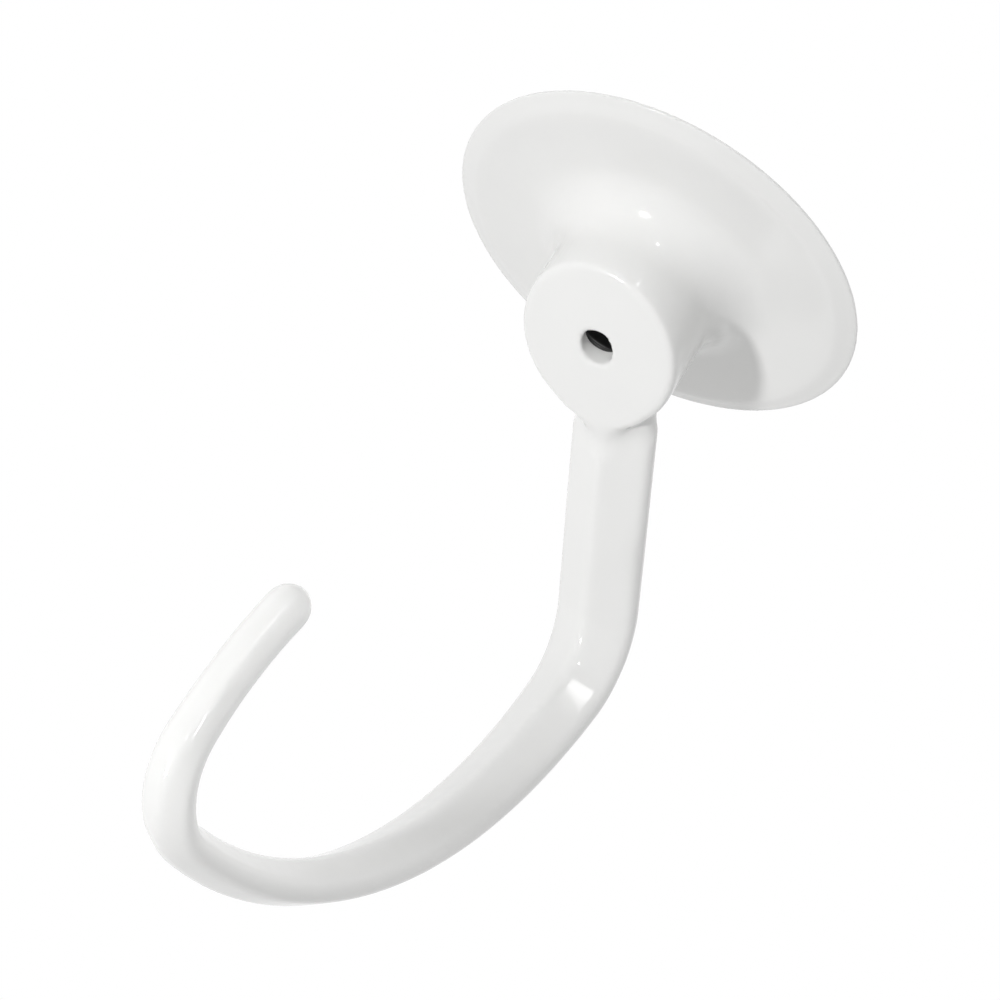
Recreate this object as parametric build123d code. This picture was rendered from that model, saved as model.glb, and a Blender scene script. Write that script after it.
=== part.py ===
from build123d import *
from math import acos, degrees, radians, tan
import os

# Dough hook of a stand mixer: one aluminium casting with a splash disc, a hub that takes the
# mixer's shaft from above, and a C-shaped arm below.
# Millimetres and degrees. The origin is the centre of the socket's mouth, +Z points up out of the
# socket along the shaft, and the arm lies in the plane Y = 0 with its bow towards +X.

# Shaft socket, drilled from above, with a small vent through the hub's end
socket_radius = 6.45
socket_depth = 28.0
drill_point_angle = 118.0
vent_radius = 3.4

# Bayonet notch in the collar, for the drive pin that stands out of the shaft on one side
pin_slot_width = 5.2
pin_slot_turn = 45.0
pin_ledge = 2.6

# Collar above the disc
collar_radius = 13.0
collar_height = 9.0
collar_base_round = 2.5
collar_edge_round = 0.8

# Splash disc: flat below, with a lip that rises gently to a thin rounded rim
disc_radius = 42.0
disc_thickness = 2.2
disc_lip_width = 6.0
disc_upper_round = 0.7
disc_rim_land = 0.1

# Hub below the disc, cut off by a sloping end face whose outline runs out in a beak on the arm
hub_radius = 16.4
hub_flare_radius = 9.5
hub_length = 32.9
hub_end_slope = 19.2
hub_end_round = 1.2
beak_overhang = 4.5
beak_radius = 4.0

# Centre line of the arm: straight out of the hub, elbow, long bow, tight crook, gently bent tip
arm_start_depth = 20.5
arm_slope = 31.5
arm_straight = 65.0
elbow_radius = 18.2
elbow_turn = 68.6
bow_radius = 101.1
bow_turn = 72.4
crook_radius = 12.8
crook_turn = 92.5
tip_radius = 76.0
tip_turn = 22.0

# Section of the arm: a soft four-sided bar with a ridge inside and outside the bend and one on each
# side, the same along the straight root, then tapering past the elbow, the middle of the bow and the
# crook to the tip
root_width = 18.0
root_depth = 11.6
root_corner = 2.5
elbow_width = 16.6
elbow_depth = 10.9
elbow_corner = 2.5
bow_width = 13.3
bow_depth = 8.9
bow_corner = 2.3
crook_width = 9.3
crook_depth = 7.4
crook_corner = 2.4
tip_width = 8.8
tip_depth = 5.8
tip_corner = 2.6
tip_round = 2.5

# Length by which cutting bodies stand past the faces that they cut
cut_over = 1.0

disc_top = -collar_height
disc_bottom = disc_top - disc_thickness
flare_end = disc_bottom - hub_flare_radius
hub_end_plane = Plane((0, 0, -hub_length)).rotated((0, hub_end_slope, 0))


def corner(outline, x, y):
    """Vertex of a flat outline at the given place."""
    return outline.vertices().sort_by_distance((x, y))[0]


def turned_body():
    """Collar, disc and flare, turned about the shaft axis down to the straight part of the hub."""
    lip_height = disc_thickness - disc_upper_round - disc_rim_land
    lip_start = disc_radius - disc_lip_width
    top = Polyline(
        (0, flare_end),
        (0, 0),
        (collar_radius, 0),
        (collar_radius, disc_top),
        (disc_radius, disc_top),
        (disc_radius, disc_bottom + lip_height),
    )
    lip_centre = (lip_start, disc_bottom + lip_height)
    lip = EllipticalCenterArc(lip_centre, disc_lip_width, lip_height, start_angle=270, arc_size=90)
    underside = Line((lip_start, disc_bottom), (hub_radius + hub_flare_radius, disc_bottom))
    flare = RadiusArc(underside @ 1, (hub_radius, flare_end), -hub_flare_radius)
    profile = make_face(top + lip + underside + flare + Line(flare @ 1, top @ 0))
    profile = fillet(corner(profile, collar_radius, 0), collar_edge_round)
    profile = fillet(corner(profile, collar_radius, disc_top), collar_base_round)
    profile = fillet(corner(profile, disc_radius, disc_top), disc_upper_round)
    return revolve(Plane.XZ * profile, axis=Axis.Z)


def polar(radius, angle, centre_x=0.0):
    """Point at a radius and an angle about a centre on the X axis."""
    return Vector(centre_x, 0) + Vector(radius, 0).rotate(Axis.Z, angle)


def hub():
    """Hub whose round section draws out into a beak on its way down to the sloping end face."""
    beak_tip = hub_radius + beak_overhang
    beak_centre = beak_tip - beak_radius
    beak_angle = degrees(acos((hub_radius - beak_radius) / beak_centre))
    back = ThreePointArc(polar(hub_radius, beak_angle), (-hub_radius, 0), polar(hub_radius, -beak_angle))
    nose_start = polar(beak_radius, -beak_angle, beak_centre)
    nose_end = polar(beak_radius, beak_angle, beak_centre)
    nose = ThreePointArc(nose_start, (beak_tip, 0), nose_end)
    beak_outline = Face(Wire([back, Line(back @ 1, nose @ 0), nose, Line(nose @ 1, back @ 0)]))
    front_angles = [-beak_angle, -beak_angle / 3, beak_angle / 3, beak_angle]
    front = []
    for start, end in zip(front_angles, front_angles[1:]):
        middle = polar(hub_radius, (start + end) / 2)
        front.append(ThreePointArc(polar(hub_radius, start), middle, polar(hub_radius, end)))
    round_outline = Face(Wire([back] + front))
    end_depth = hub_length + beak_tip * tan(radians(hub_end_slope)) + cut_over
    blank = loft([Pos(0, 0, flare_end) * round_outline, Pos(0, 0, -end_depth) * beak_outline], ruled=True)
    blank = split(blank, hub_end_plane, Keep.TOP)
    end_face = blank.faces().sort_by_distance(hub_end_plane.origin)[0]
    return fillet(end_face.edges(), hub_end_round)


def bar_section(place, tangent, width, depth, corner_radius):
    """Four-sided section across the arm with round corners, two of them in the plane of the hook."""
    half_width = width / 2 - corner_radius
    half_depth = depth / 2 - corner_radius
    core = Polygon((half_depth, 0), (0, half_width), (-half_depth, 0), (0, -half_width), align=None)
    outline = offset(core, corner_radius, kind=Kind.ARC)
    return Plane(place, x_dir=Vector(0, 1, 0).cross(tangent), z_dir=tangent) * outline


def arm():
    """Straight root that starts inside the hub, and the bent bar that tapers to a rounded tip."""
    root_line = PolarLine((0, -arm_start_depth), arm_straight, -arm_slope)
    elbow = JernArc(root_line @ 1, root_line % 1, elbow_radius, -elbow_turn)
    bow = JernArc(elbow @ 1, elbow % 1, bow_radius, -bow_turn)
    crook = JernArc(bow @ 1, bow % 1, crook_radius, -crook_turn)
    tip = JernArc(crook @ 1, crook % 1, tip_radius, -tip_turn)
    path = Plane.XZ * Wire([elbow, bow, crook, tip])
    bow_path = Plane.XZ * bow
    crook_path = Plane.XZ * crook
    root_section = bar_section(path @ 0, path % 0, root_width, root_depth, root_corner)
    elbow_section = bar_section(bow_path @ 0, bow_path % 0, elbow_width, elbow_depth, elbow_corner)
    bow_section = bar_section(bow_path @ 0.5, bow_path % 0.5, bow_width, bow_depth, bow_corner)
    crook_section = bar_section(crook_path @ 0, crook_path % 0, crook_width, crook_depth, crook_corner)
    tip_section = bar_section(path @ 1, path % 1, tip_width, tip_depth, tip_corner)
    sections = [root_section, elbow_section, bow_section, crook_section, tip_section]
    bar = sweep(sections, path=path, multisection=True)
    tip_face = bar.faces().sort_by_distance(path @ 1)[0]
    bar = fillet(tip_face.edges(), tip_round)
    return extrude(root_section, -arm_straight) + bar


def socket():
    """Drilled socket with its conical end, and the vent that leaves through the hub's end face."""
    point_height = (socket_radius - vent_radius) / tan(radians(drill_point_angle / 2))
    reach = hub_length + hub_radius
    bore = Pos(0, 0, -socket_depth) * extrude(Circle(socket_radius), socket_depth + cut_over)
    point = Pos(0, 0, -socket_depth - point_height / 2) * Cone(vent_radius, socket_radius, point_height)
    vent = Pos(0, 0, -reach) * extrude(Circle(vent_radius), reach)
    return bore + point + vent


def pin_notch():
    """Notch that lets the drive pin in from above, then turns clockwise under a ledge."""
    outer = collar_radius + cut_over
    leg_middle = -pin_ledge - pin_slot_width / 2
    entry_height = pin_ledge + pin_slot_width + cut_over
    entry = Pos(-outer / 2, 0, cut_over - entry_height / 2) * Box(outer, pin_slot_width, entry_height)
    leg_profile = Pos(-outer / 2, leg_middle) * Rectangle(outer, pin_slot_width)
    leg = revolve(Plane.XZ * leg_profile, axis=Axis.Z, revolution_arc=-pin_slot_turn)
    seat = Pos(0, 0, leg_middle) * Rot(0, -90, 0) * extrude(Circle(pin_slot_width / 2), outer)
    return entry + leg + Rot(0, 0, -pin_slot_turn) * seat


dough_hook = turned_body() + hub() + arm() - socket() - pin_notch()
os.makedirs("parts", exist_ok=True)
export_step(dough_hook, "parts/dough_hook.step")
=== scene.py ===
"""Looks of a stand mixer's dough hook: the coated casting, and the studio that it hangs in.

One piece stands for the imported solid: a fine skin over the solid's own mesh, with the soft edges
that the coating gives the casting. Metres, in the part's own frame: the origin is the centre of the
socket's mouth, +Z runs up the mixer's shaft, and the arm bows towards +X.
"""

import math

import bpy
import numpy as np
from mathutils import Matrix, Vector


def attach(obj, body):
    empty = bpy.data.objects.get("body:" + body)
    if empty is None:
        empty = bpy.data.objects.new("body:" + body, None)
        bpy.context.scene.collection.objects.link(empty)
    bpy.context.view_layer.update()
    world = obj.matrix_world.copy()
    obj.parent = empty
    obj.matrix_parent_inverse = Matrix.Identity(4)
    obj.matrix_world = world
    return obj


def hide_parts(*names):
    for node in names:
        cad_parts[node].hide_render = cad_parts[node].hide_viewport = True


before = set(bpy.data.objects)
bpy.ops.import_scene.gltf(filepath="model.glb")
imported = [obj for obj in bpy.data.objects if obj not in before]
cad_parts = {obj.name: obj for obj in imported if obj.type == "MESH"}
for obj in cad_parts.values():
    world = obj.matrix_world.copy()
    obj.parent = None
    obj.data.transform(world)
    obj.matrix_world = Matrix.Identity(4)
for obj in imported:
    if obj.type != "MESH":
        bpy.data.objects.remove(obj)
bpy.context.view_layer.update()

bl_info = {
    "name": "Dough hook",
    "version": (1, 0, 0),
    "blender": (4, 5, 0),
    "location": "View3D > Sidebar > Dough Hook",
    "description": "Builds the dough hook's coated casting and sets up its studio",
    "category": "Object",
}

CASTING = "dough_hook"

# Heights on the disc: its underside, the middle of its edge, and the crest of its rim with half the
# height of the land there
DISC_UNDERSIDE = -0.0112
DISC_MIDDLE = -0.0098
RIM_HEIGHT = -0.00975
RIM_HALF_LAND = 0.0003

# Radius of the disc, the radius at which its lip starts, and the lip's rise from there to the rim
DISC_RADIUS = 0.042
LIP_START = 0.036
LIP_RISE = 0.0014

# Distances below and above the middle of the disc's edge between which the lip's bevel fades out,
# and the distance by which a point may lie off the disc and still be taken as part of it
BEVEL_FADE_BELOW = 0.0002
BEVEL_FADE_ABOVE = 0.0003
DISC_MARGIN = 0.001

# Seam of the arm with the hub, nearly a flat ring: its middle, the direction across its plane, the
# direction up its plane, its half axes up the plane and along Y, and the factor by which distances
# count more on the arm's side
SEAM_MIDDLE = np.array((0.0188, 0.0, -0.0320))
SEAM_ACROSS = np.array((0.97, 0.0, 0.24))
SEAM_UP = np.array((-0.24, 0.0, 0.97))
SEAM_HALF_HEIGHT = 0.0081
SEAM_HALF_WIDTH = 0.0090
SEAM_ARM_STEEPNESS = 2.2

# Centre line of the arm's crook and tip, two arcs in the plane Y = 0: centre, radius, and the turn
# in degrees about the centre from which the arc runs on clockwise
CROOK_CENTRE = np.array((-0.024178, -0.142987))
CROOK_RADIUS = 0.0128
CROOK_START = -82.5
TIP_CENTRE = np.array((0.038782, -0.137479))
TIP_RADIUS = 0.076
TIP_START = -175.0
TIP_STOP = -197.0

# Distance from that line within which points belong to the arm, and the length past the crook on
# which the arm's section goes on turning
ARM_REACH = 0.0075
TWIST_RUN_OUT = 0.008

# Depth below the socket's mouth from which there is nothing but the arm, and the length over which
# its ridges grow softer there
ARM_DEPTH = 0.040
ARM_FADE = 0.015

# Coating: refraction, patches of tone per metre and their detail, the two noise levels between
# which the tone changes, the share of the colour left in the darker patches, the roughness added in
# the lighter ones, and the detail of the orange peel
COATING_IOR = 1.5
TONE_SCALE = 60.0
TONE_DETAIL = 4.0
TONE_LOW = 0.3
TONE_HIGH = 0.7
DARKER_TONE = 0.985
ADDED_ROUGHNESS = 0.05
PEEL_DETAIL = 1.0

# Floor: its own grey, its roughness, and the light of its own that makes it white in the picture
FLOOR_GREY = 0.55
FLOOR_ROUGHNESS = 0.8
FLOOR_LIFT = 0.6

# Points that the lamps aim at, and the direction from the hub to the key lamp
HUB_END = Vector((0.0, 0.0, -0.033))
BEND = Vector((0.0638, 0.0, -0.0732))
TIP = Vector((-0.0339, 0.0, -0.1153))
TO_KEY = Vector((-0.70, 0.125, -0.70))
UP = Vector((0.0, 0.0, 1.0))

# Camera: directions to the right and down the picture, width of the sensor in millimetres, and the
# nearest distance that it sees
CAMERA_RIGHT = Vector((0.22954, -0.83932, 0.49280))
CAMERA_DOWN = Vector((0.58940, -0.28306, -0.75663))
SENSOR_WIDTH = 36.0
NEAREST_SEEN = 0.01


class CastingSettings(bpy.types.PropertyGroup):
    """Softness of the casting's shape."""

    skin_size: bpy.props.FloatProperty(
        name="Skin size",
        description="Width of one face of the casting's skin",
        unit="LENGTH",
        default=0.00057,
    )
    edge_softness: bpy.props.FloatProperty(
        name="Edge softness",
        description="Share by which the coating evens out the skin's edges in each pass",
        subtype="FACTOR",
        min=0.0,
        max=1.0,
        default=0.015,
    )
    arm_softness: bpy.props.FloatProperty(
        name="Arm softness",
        description="Share by which the arm's ridges are evened out in each pass",
        subtype="FACTOR",
        min=0.0,
        max=1.0,
        default=0.05,
    )
    joint_softness: bpy.props.FloatProperty(
        name="Joint softness",
        description="Share by which the arm and the hub run together in each pass",
        subtype="FACTOR",
        min=0.0,
        max=1.0,
        default=0.5,
    )
    joint_core: bpy.props.FloatProperty(
        name="Joint core",
        description="Distance from the arm's seam up to which it is softest",
        unit="LENGTH",
        default=0.002,
    )
    joint_reach: bpy.props.FloatProperty(
        name="Joint reach",
        description="Distance from the arm's seam at which its softness ends",
        unit="LENGTH",
        default=0.006,
    )
    passes: bpy.props.IntProperty(
        name="Passes",
        description="Number of passes that even out the skin",
        min=0,
        default=64,
    )
    bevel_width: bpy.props.FloatProperty(
        name="Lip bevel",
        description="Width of the plain bevel under the disc's rim",
        unit="LENGTH",
        default=0.004,
    )
    tip_twist: bpy.props.FloatProperty(
        name="Tip twist",
        description="Turn of the arm's section from the bow to the tip",
        subtype="ANGLE",
        default=math.radians(40.0),
    )
    twist_narrowing: bpy.props.FloatProperty(
        name="Twist narrowing",
        description="Share of the section's width that is lost where it is turned",
        subtype="FACTOR",
        min=0.0,
        max=1.0,
        default=0.1,
    )
    tip_length: bpy.props.FloatProperty(
        name="Tip length",
        description="Length over which the arm narrows to its round end",
        unit="LENGTH",
        default=0.0046,
    )
    tip_narrowing: bpy.props.FloatProperty(
        name="Tip narrowing",
        description="Share of the section that is lost at the arm's end",
        subtype="FACTOR",
        min=0.0,
        max=1.0,
        default=0.45,
    )
    tip_softness: bpy.props.FloatProperty(
        name="Tip softness",
        description="Share by which the arm's end is evened out in each pass",
        subtype="FACTOR",
        min=0.0,
        max=1.0,
        default=0.1,
    )
    tip_growth: bpy.props.FloatProperty(
        name="Tip growth",
        description="Length that the end gains before it is evened out, which takes it away again",
        unit="LENGTH",
        default=0.0005,
    )


class CoatingSettings(bpy.types.PropertyGroup):
    """Finish of the casting."""

    colour: bpy.props.FloatVectorProperty(
        name="Coating colour",
        description="Colour of the baked coating",
        subtype="COLOR",
        size=3,
        min=0.0,
        max=1.0,
        default=(0.87, 0.87, 0.86),
    )
    roughness: bpy.props.FloatProperty(
        name="Coating roughness",
        description="Roughness of the smoothest coating",
        subtype="FACTOR",
        min=0.0,
        max=1.0,
        default=0.09,
    )
    peel_size: bpy.props.FloatProperty(
        name="Orange peel size",
        description="Width of one dimple of the coating's orange peel",
        unit="LENGTH",
        default=0.0022,
    )
    peel_depth: bpy.props.FloatProperty(
        name="Orange peel depth",
        description="Depth of the coating's orange peel",
        unit="LENGTH",
        default=0.000012,
    )
    # Reach of the painted shade in the socket's bore: its radius and its depth
    bore_radius: bpy.props.FloatProperty(
        name="Bore radius",
        description="Radius up to which the socket's bare wall reaches",
        unit="LENGTH",
        default=0.0067,
    )
    bore_depth: bpy.props.FloatProperty(
        name="Bore depth",
        description="Depth down to which the socket's wall is bare",
        unit="LENGTH",
        default=0.0305,
    )
    # Painted shade: the dark colour that stands in for the shade inside the socket's bore
    socket_shade_colour: bpy.props.FloatVectorProperty(
        name="Bore colour",
        description="Colour of the bare metal in the socket",
        subtype="COLOR",
        size=3,
        min=0.0,
        max=1.0,
        default=(0.10, 0.10, 0.10),
    )


class StageSettings(bpy.types.PropertyGroup):
    """Floor, light and camera."""

    floor_depth: bpy.props.FloatProperty(
        name="Floor depth",
        description="Depth of the floor below the socket's mouth",
        unit="LENGTH",
        default=1.3,
    )
    floor_size: bpy.props.FloatProperty(
        name="Floor size",
        description="Length of the floor's sides",
        unit="LENGTH",
        default=12.0,
    )
    floor_colour: bpy.props.FloatVectorProperty(
        name="Floor colour",
        description="Colour of the floor and of the space around it in the picture",
        subtype="COLOR",
        size=3,
        min=0.0,
        max=1.0,
        default=(1.0, 1.0, 1.0),
    )
    fill_level: bpy.props.FloatProperty(
        name="Fill level",
        description="Strength of the light that comes from all around",
        default=0.59,
    )
    fill_slope: bpy.props.FloatVectorProperty(
        name="Fill slope",
        description="Change of the fill light towards +X, +Y and +Z",
        subtype="XYZ",
        size=3,
        default=(0.28, 0.15, 0.42),
    )
    key_level: bpy.props.FloatProperty(
        name="Key level",
        description="Share of its colour that the key lamp alone gives to a surface that faces it",
        default=0.555,
    )
    camera_place: bpy.props.FloatVectorProperty(
        name="Camera place",
        description="Place of the camera in the part's frame",
        subtype="XYZ",
        unit="LENGTH",
        size=3,
        default=(-0.27515, -0.16533, -0.22244),
    )
    focal_length: bpy.props.FloatProperty(
        name="Focal length",
        description="Focal length of the camera, in millimetres",
        default=72.0,
    )


def math_node(tree, operation, first, second):
    """Output of a math node that works on two inputs, each of them a socket or a number."""
    node = tree.nodes.new("ShaderNodeMath")
    node.operation = operation
    for slot, value in zip(node.inputs, (first, second)):
        if isinstance(value, bpy.types.NodeSocket):
            tree.links.new(value, slot)
        else:
            slot.default_value = value
    return node.outputs[0]


def noise_node(tree, place, scale, detail):
    """Output of a noise texture at a place."""
    noise = tree.nodes.new("ShaderNodeTexNoise")
    noise.inputs["Scale"].default_value = scale
    noise.inputs["Detail"].default_value = detail
    tree.links.new(place, noise.inputs["Vector"])
    return noise.outputs["Fac"]


def ray_share(tree):
    """Socket that is 1 on rays from the camera, and on mirrored and transmitted rays."""
    path = tree.nodes.new("ShaderNodeLightPath")
    seen = math_node(
        tree, "MAXIMUM", path.outputs["Is Camera Ray"], path.outputs["Is Glossy Ray"]
    )
    return math_node(tree, "MAXIMUM", seen, path.outputs["Is Transmission Ray"])


def socket_shade_mask(tree, place, settings):
    """Socket that is 1 on the wall of the shaft socket, where shade is painted, and 0 elsewhere on
    the coating.
    """
    axes = tree.nodes.new("ShaderNodeSeparateXYZ")
    tree.links.new(place, axes.inputs["Vector"])
    across = tree.nodes.new("ShaderNodeCombineXYZ")
    tree.links.new(axes.outputs["X"], across.inputs["X"])
    tree.links.new(axes.outputs["Y"], across.inputs["Y"])
    radius = tree.nodes.new("ShaderNodeVectorMath")
    radius.operation = "LENGTH"
    tree.links.new(across.outputs["Vector"], radius.inputs[0])
    inside = math_node(tree, "LESS_THAN", radius.outputs["Value"], settings.bore_radius)
    above = math_node(tree, "GREATER_THAN", axes.outputs["Z"], -settings.bore_depth)
    return math_node(tree, "MULTIPLY", inside, above)


def coating_colour(tree, place, tone, settings):
    """Colour of the coating, slightly uneven in tone, with painted shade in the socket."""
    tones = tree.nodes.new("ShaderNodeValToRGB")
    darker, lighter = tones.color_ramp.elements
    darker.position = TONE_LOW
    darker.color = (*[channel * DARKER_TONE for channel in settings.colour], 1.0)
    lighter.position = TONE_HIGH
    lighter.color = (*settings.colour, 1.0)
    tree.links.new(tone, tones.inputs["Fac"])
    # Mixes the painted shade into the colour on the socket's wall
    socket_shade_mix = tree.nodes.new("ShaderNodeMix")
    socket_shade_mix.data_type = "RGBA"
    tree.links.new(socket_shade_mask(tree, place, settings), socket_shade_mix.inputs["Factor"])
    tree.links.new(tones.outputs["Color"], socket_shade_mix.inputs["A"])
    socket_shade_mix.inputs["B"].default_value = (*settings.socket_shade_colour, 1.0)
    return socket_shade_mix.outputs["Result"]


def coating_roughness(tree, tone, settings):
    """Roughness of the coating, which changes with its tone."""
    gloss = tree.nodes.new("ShaderNodeMapRange")
    gloss.inputs["From Min"].default_value = TONE_LOW
    gloss.inputs["From Max"].default_value = TONE_HIGH
    gloss.inputs["To Min"].default_value = settings.roughness
    gloss.inputs["To Max"].default_value = settings.roughness + ADDED_ROUGHNESS
    tree.links.new(tone, gloss.inputs["Value"])
    return gloss.outputs["Result"]


def orange_peel(tree, place, settings):
    """Normal of the coating, with its faint dimples."""
    bump = tree.nodes.new("ShaderNodeBump")
    bump.inputs["Distance"].default_value = settings.peel_depth
    bump.inputs["Strength"].default_value = 1.0
    dimples = noise_node(tree, place, 1.0 / settings.peel_size, PEEL_DETAIL)
    tree.links.new(dimples, bump.inputs["Height"])
    return bump.outputs["Normal"]


def coating_material(settings):
    """Glossy baked coating with a faint orange peel, and painted shade in the socket."""
    material = bpy.data.materials.new("white_coating")
    material.use_nodes = True
    tree = material.node_tree
    shader = tree.nodes["Principled BSDF"]
    shader.inputs["IOR"].default_value = COATING_IOR
    place = tree.nodes.new("ShaderNodeTexCoord").outputs["Object"]
    tone = noise_node(tree, place, TONE_SCALE, TONE_DETAIL)
    tree.links.new(coating_colour(tree, place, tone, settings), shader.inputs["Base Color"])
    tree.links.new(coating_roughness(tree, tone, settings), shader.inputs["Roughness"])
    tree.links.new(orange_peel(tree, place, settings), shader.inputs["Normal"])
    return material


def smooth_step(values, start, end):
    """Soft rise from 0 at the start to 1 at the end."""
    share = np.clip((values - start) / (end - start), 0.0, 1.0)
    return share * share * (3.0 - 2.0 * share)


def skin_piece(name, solid, size):
    """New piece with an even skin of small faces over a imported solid."""
    piece = bpy.data.objects.new(name, solid.data)
    bpy.context.scene.collection.objects.link(piece)
    remesh = piece.modifiers.new("skin", "REMESH")
    remesh.mode = "VOXEL"
    remesh.voxel_size = size
    wrap = piece.modifiers.new("wrap", "SHRINKWRAP")
    wrap.target = solid
    wrap.wrap_method = "NEAREST_SURFACEPOINT"
    evaluated = piece.evaluated_get(bpy.context.evaluated_depsgraph_get())
    skin = bpy.data.meshes.new_from_object(evaluated)
    piece.modifiers.clear()
    piece.data = skin
    return piece


def bevel_lip(points, settings):
    """Turns the soft curve under the disc's rim into a plain bevel."""
    radius = np.hypot(points[:, 0], points[:, 1])
    share = np.clip((radius - LIP_START) / (DISC_RADIUS - LIP_START), 0.0, 1.0)
    curve = LIP_RISE * (1.0 - np.sqrt(1.0 - share ** 2))
    bevel = LIP_RISE * np.clip((radius - DISC_RADIUS) / settings.bevel_width + 1.0, 0.0, 1.0)
    above = smooth_step(
        points[:, 2], DISC_MIDDLE - BEVEL_FADE_BELOW, DISC_MIDDLE + BEVEL_FADE_ABOVE
    )
    on_disc = points[:, 2] > DISC_UNDERSIDE - DISC_MARGIN
    points[:, 2] += np.where(on_disc, (1.0 - above) * np.maximum(bevel - curve, 0.0), 0.0)


def even_rim(points):
    """Puts the crest of the disc's rim at the disc's full radius, so that it is evenly round."""
    radius = np.hypot(points[:, 0], points[:, 1])
    at_rim = radius > DISC_RADIUS - DISC_MARGIN
    on_crest = at_rim & (np.abs(points[:, 2] - RIM_HEIGHT) < RIM_HALF_LAND)
    points[on_crest, :2] *= (DISC_RADIUS / radius[on_crest])[:, None]


def arc_frame(points, centre, radius, start):
    """Length along an arc of the arm, offset from it away from its centre, and that direction."""
    spoke = points[:, (0, 2)] - centre
    distance = np.linalg.norm(spoke, axis=1)
    turn = np.degrees(np.arctan2(spoke[:, 1], spoke[:, 0]))
    turn = np.where(turn > 0.0, turn - 360.0, turn)
    return np.radians(start - turn) * radius, distance - radius, spoke / distance[:, None]


def on_arc(along, out, side, length):
    """Which points belong to the arm along an arc of that length."""
    return (along > 0.0) & (along <= length) & (np.hypot(out, side) < ARM_REACH)


def turn_section(out, side, turned, settings):
    """Places on the arm's section, in its plane and across it, once it has turned and narrowed."""
    angle = settings.tip_twist * turned
    side = side * (1.0 - settings.twist_narrowing * turned)
    return out * np.cos(angle) + side * np.sin(angle), side * np.cos(angle) - out * np.sin(angle)


def move_section(points, chosen, shift, side):
    """Moves the chosen points by a shift in the arm's plane, and puts them at a side of it."""
    points[chosen, 0] += shift[chosen, 0]
    points[chosen, 2] += shift[chosen, 1]
    points[chosen, 1] = side[chosen]


def shape_tip(points, settings):
    """Turns the arm's section in the crook, rounds its end, and returns the nearness to the end."""
    crook_length = np.radians(CROOK_START - TIP_START) * CROOK_RADIUS
    tip_length = np.radians(TIP_START - TIP_STOP) * TIP_RADIUS
    twist_length = crook_length + TWIST_RUN_OUT
    crook_frame = arc_frame(points, CROOK_CENTRE, CROOK_RADIUS, CROOK_START)
    tip_frame = arc_frame(points, TIP_CENTRE, TIP_RADIUS, TIP_START)

    along, out, spoke = crook_frame
    on_crook = on_arc(along, out, points[:, 1], crook_length)
    turned = smooth_step(along, 0.0, twist_length)
    new_out, new_side = turn_section(out, points[:, 1], turned, settings)
    move_section(points, on_crook, spoke * (new_out - out)[:, None], new_side)

    along, out, spoke = tip_frame
    on_tip = on_arc(along, out, points[:, 1], tip_length + settings.tip_length)
    turned = smooth_step(along + crook_length, 0.0, twist_length)
    new_out, new_side = turn_section(out, points[:, 1], turned, settings)
    nearness = np.clip(1.0 - (tip_length - along) / settings.tip_length, 0.0, 1.0) * on_tip
    scale = 1.0 - settings.tip_narrowing * nearness ** 2
    growth = settings.tip_growth * nearness ** 2
    forward = np.stack((spoke[:, 1], -spoke[:, 0]), axis=1)
    shift = spoke * (new_out * scale - out)[:, None] + forward * growth[:, None]
    move_section(points, on_tip, shift, new_side * scale)
    return nearness


def seam_distance(points):
    """Distance from the seam of the arm with the hub, which grows faster on the arm's side."""
    gap = points - SEAM_MIDDLE
    across = gap @ SEAM_ACROSS
    across = np.where(across > 0.0, across * SEAM_ARM_STEEPNESS, across)
    half = (SEAM_HALF_HEIGHT + SEAM_HALF_WIDTH) / 2.0
    ring = half * np.hypot(gap @ SEAM_UP / SEAM_HALF_HEIGHT, gap[:, 1] / SEAM_HALF_WIDTH)
    return np.hypot(across, ring - half)


def relax(points, edges, weights, passes):
    """Moves each point towards the middle of its neighbours by its own weight, pass after pass."""
    ends = np.concatenate((edges[:, 0], edges[:, 1]))
    neighbours = np.concatenate((edges[:, 1], edges[:, 0]))
    counts = np.bincount(ends, minlength=len(points))
    for _ in range(passes):
        sums = [np.bincount(ends, points[neighbours, axis], len(points)) for axis in range(3)]
        points += weights[:, None] * (np.stack(sums, axis=1) / counts[:, None] - points)


class DOUGHHOOK_OT_build_casting(bpy.types.Operator):
    """Makes the soft-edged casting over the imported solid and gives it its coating"""

    bl_idname = "doughhook.build_casting"
    bl_label = "Build Casting"

    def execute(self, context):
        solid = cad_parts.get(CASTING)
        if solid is None:
            raise RuntimeError("the packed part has no casting")
        settings = context.scene.dough_hook_casting
        piece = skin_piece("hook_casting", solid, settings.skin_size)
        self.shape(piece.data, settings)
        piece.data.materials.clear()
        piece.data.materials.append(coating_material(context.scene.dough_hook_coating))
        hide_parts(CASTING)
        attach(piece, "root")
        return {"FINISHED"}

    def shape(self, mesh, settings):
        """Shapes the lip, the rim and the tip, and evens out the skin, most of all at the joint."""
        points = np.empty(len(mesh.vertices) * 3)
        mesh.vertices.foreach_get("co", points)
        points = points.reshape(-1, 3)
        edges = np.empty(len(mesh.edges) * 2, dtype=np.int64)
        mesh.edges.foreach_get("vertices", edges)
        bevel_lip(points, settings)
        even_rim(points)
        nearness = shape_tip(points, settings)
        apart = smooth_step(seam_distance(points), settings.joint_core, settings.joint_reach)
        on_arm = smooth_step(-points[:, 2], ARM_DEPTH, ARM_DEPTH + ARM_FADE)
        softness = np.maximum(settings.edge_softness, on_arm * settings.arm_softness)
        softness = np.maximum(softness, (1.0 - apart) * settings.joint_softness)
        softness = np.maximum(softness, nearness * settings.tip_softness)
        relax(points, edges.reshape(-1, 2), softness, settings.passes)
        mesh.vertices.foreach_set("co", points.ravel())
        mesh.polygons.foreach_set("use_smooth", np.ones(len(mesh.polygons), dtype=bool))
        mesh.update()


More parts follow.
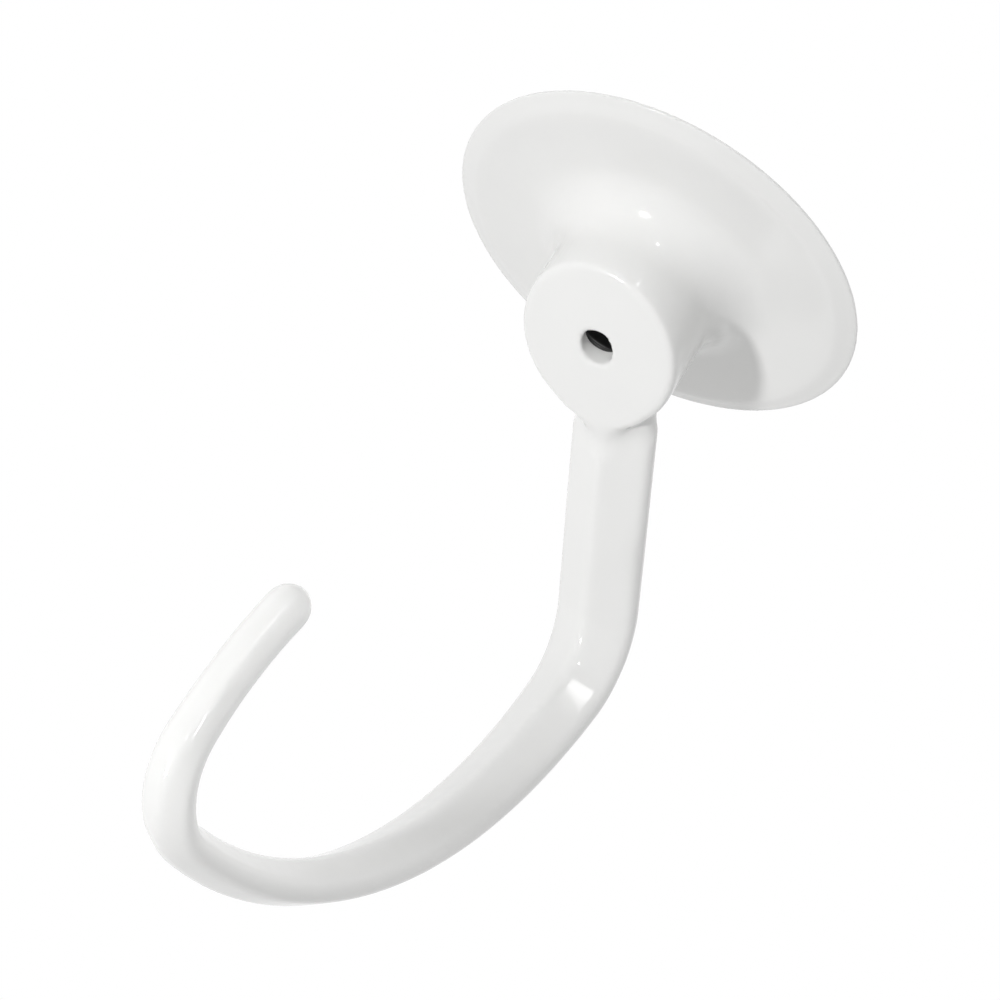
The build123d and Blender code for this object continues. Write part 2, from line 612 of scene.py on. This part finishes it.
def aim(place, target):
    """Matrix that puts an object at a place with its -Z axis towards the target."""
    back = (place - target).normalized()
    right = UP.cross(back).normalized()
    turn = Matrix((right, back.cross(right), back)).transposed()
    return Matrix.Translation(place) @ turn.to_4x4()


def heading(azimuth, elevation):
    """Direction at an azimuth from +X and an elevation above the horizon, in degrees."""
    turn, rise = math.radians(azimuth), math.radians(elevation)
    level = math.cos(rise)
    return Vector((math.cos(turn) * level, math.sin(turn) * level, math.sin(rise)))


def softbox(name, target, direction, distance, width, height, level, beam=180.0):
    """Area lamp that lights a white surface at the target to a level, with its beam in degrees."""
    half = math.radians(beam) / 2.0
    lamp = bpy.data.lights.new(name, "AREA")
    lamp.shape = "RECTANGLE"
    lamp.size = width
    lamp.size_y = height
    lamp.spread = 2.0 * half
    lamp.energy = level * math.pi ** 2 * distance ** 2 * (1.0 - half / math.tan(half))
    box = bpy.data.objects.new(name, lamp)
    box.matrix_world = aim(target + direction.normalized() * distance, target)
    bpy.context.scene.collection.objects.link(box)


class DOUGHHOOK_OT_build_stage(bpy.types.Operator):
    """Makes the floor, the light and the camera"""

    bl_idname = "doughhook.build_stage"
    bl_label = "Build Stage"

    def execute(self, context):
        settings = context.scene.dough_hook_stage
        self.make_world(context, settings)
        self.make_floor(context, settings)
        self.make_lamps(settings)
        self.make_camera(context, settings)
        context.scene.view_settings.view_transform = "Standard"
        return {"FINISHED"}

    def make_world(self, context, settings):
        """Makes surroundings that look white, with a fill light that changes from side to side."""
        world = bpy.data.worlds.new("studio")
        world.use_nodes = True
        tree = world.node_tree
        sky = tree.nodes["Background"]
        sky.inputs["Color"].default_value = (*settings.floor_colour, 1.0)
        place = tree.nodes.new("ShaderNodeTexCoord")
        slope = tree.nodes.new("ShaderNodeVectorMath")
        slope.operation = "DOT_PRODUCT"
        slope.inputs[1].default_value = settings.fill_slope
        tree.links.new(place.outputs["Generated"], slope.inputs[0])
        fill = math_node(tree, "ADD", slope.outputs["Value"], settings.fill_level)
        fill = math_node(tree, "MAXIMUM", fill, 0.0)
        level = tree.nodes.new("ShaderNodeMapRange")
        level.inputs["To Max"].default_value = 1.0
        tree.links.new(ray_share(tree), level.inputs["Value"])
        tree.links.new(fill, level.inputs["To Min"])
        tree.links.new(level.outputs["Result"], sky.inputs["Strength"])
        context.scene.world = world

    def make_floor(self, context, settings):
        """Makes a floor that looks white and throws back less light than it seems to."""
        half = settings.floor_size / 2
        mesh = bpy.data.meshes.new("floor")
        corners = [(-half, -half, 0), (half, -half, 0), (half, half, 0), (-half, half, 0)]
        mesh.from_pydata(corners, [], [(0, 1, 2, 3)])
        floor = bpy.data.objects.new("floor", mesh)
        floor.location.z = -settings.floor_depth
        context.scene.collection.objects.link(floor)
        material = bpy.data.materials.new("pale_floor")
        material.use_nodes = True
        tree = material.node_tree
        shader = tree.nodes["Principled BSDF"]
        shader.inputs["Base Color"].default_value = (FLOOR_GREY, FLOOR_GREY, FLOOR_GREY, 1.0)
        shader.inputs["Roughness"].default_value = FLOOR_ROUGHNESS
        shader.inputs["Emission Color"].default_value = (*settings.floor_colour, 1.0)
        lift = math_node(tree, "MULTIPLY", ray_share(tree), FLOOR_LIFT)
        tree.links.new(lift, shader.inputs["Emission Strength"])
        mesh.materials.append(material)

    def make_lamps(self, settings):
        """Puts up the key lamp, and lamps for the highlights on the hub, the bend and the tip."""
        softbox(
            "key", HUB_END, TO_KEY,
            distance=0.85, width=0.07, height=0.07, level=settings.key_level, beam=50.0,
        )
        softbox(
            "front", HUB_END, heading(azimuth=-155.0, elevation=-5.2),
            distance=1.2, width=0.035, height=0.035, level=0.045,
        )
        softbox(
            "upper", BEND, heading(azimuth=-151.0, elevation=31.0),
            distance=1.2, width=0.075, height=0.38, level=0.06,
        )
        softbox(
            "tip_side", TIP, heading(azimuth=-122.0, elevation=8.0),
            distance=0.40, width=0.05, height=0.10, level=0.32, beam=15.0,
        )
        softbox(
            "tip_strip", TIP, heading(azimuth=180.0, elevation=22.0),
            distance=0.40, width=0.04, height=0.25, level=0.05, beam=15.0,
        )

    def make_camera(self, context, settings):
        """Puts up the camera, which looks at the hook from below."""
        data = bpy.data.cameras.new("camera")
        data.lens = settings.focal_length
        data.sensor_width = SENSOR_WIDTH
        data.clip_start = NEAREST_SEEN
        camera = bpy.data.objects.new("camera", data)
        back = CAMERA_RIGHT.cross(-CAMERA_DOWN)
        turn = Matrix((CAMERA_RIGHT, -CAMERA_DOWN, back)).transposed()
        camera.matrix_world = Matrix.Translation(settings.camera_place) @ turn.to_4x4()
        context.scene.collection.objects.link(camera)
        context.scene.camera = camera


class DOUGHHOOK_PT_panel(bpy.types.Panel):
    """Lists the steps and their settings"""

    bl_idname = "DOUGHHOOK_PT_panel"
    bl_label = "Dough Hook"
    bl_space_type = "VIEW_3D"
    bl_region_type = "UI"
    bl_category = "Dough Hook"

    def draw(self, context):
        scene = context.scene
        for step, groups in (
            (DOUGHHOOK_OT_build_casting, (scene.dough_hook_casting, scene.dough_hook_coating)),
            (DOUGHHOOK_OT_build_stage, (scene.dough_hook_stage,)),
        ):
            box = self.layout.box()
            for settings in groups:
                for name in settings.__annotations__:
                    box.prop(settings, name)
            box.operator(step.bl_idname)


CLASSES = (
    CastingSettings,
    CoatingSettings,
    StageSettings,
    DOUGHHOOK_OT_build_casting,
    DOUGHHOOK_OT_build_stage,
    DOUGHHOOK_PT_panel,
)


def register():
    """Adds the classes, and the settings of each scene."""
    for cls in CLASSES:
        bpy.utils.register_class(cls)
    bpy.types.Scene.dough_hook_casting = bpy.props.PointerProperty(type=CastingSettings)
    bpy.types.Scene.dough_hook_coating = bpy.props.PointerProperty(type=CoatingSettings)
    bpy.types.Scene.dough_hook_stage = bpy.props.PointerProperty(type=StageSettings)


def unregister():
    """Takes the settings and the classes away again."""
    del bpy.types.Scene.dough_hook_stage
    del bpy.types.Scene.dough_hook_coating
    del bpy.types.Scene.dough_hook_casting
    for cls in reversed(CLASSES):
        bpy.utils.unregister_class(cls)


def main():
    """Builds the casting and the stage."""
    register()
    bpy.ops.doughhook.build_casting()
    bpy.ops.doughhook.build_stage()


if __name__ == "__main__":
    main()
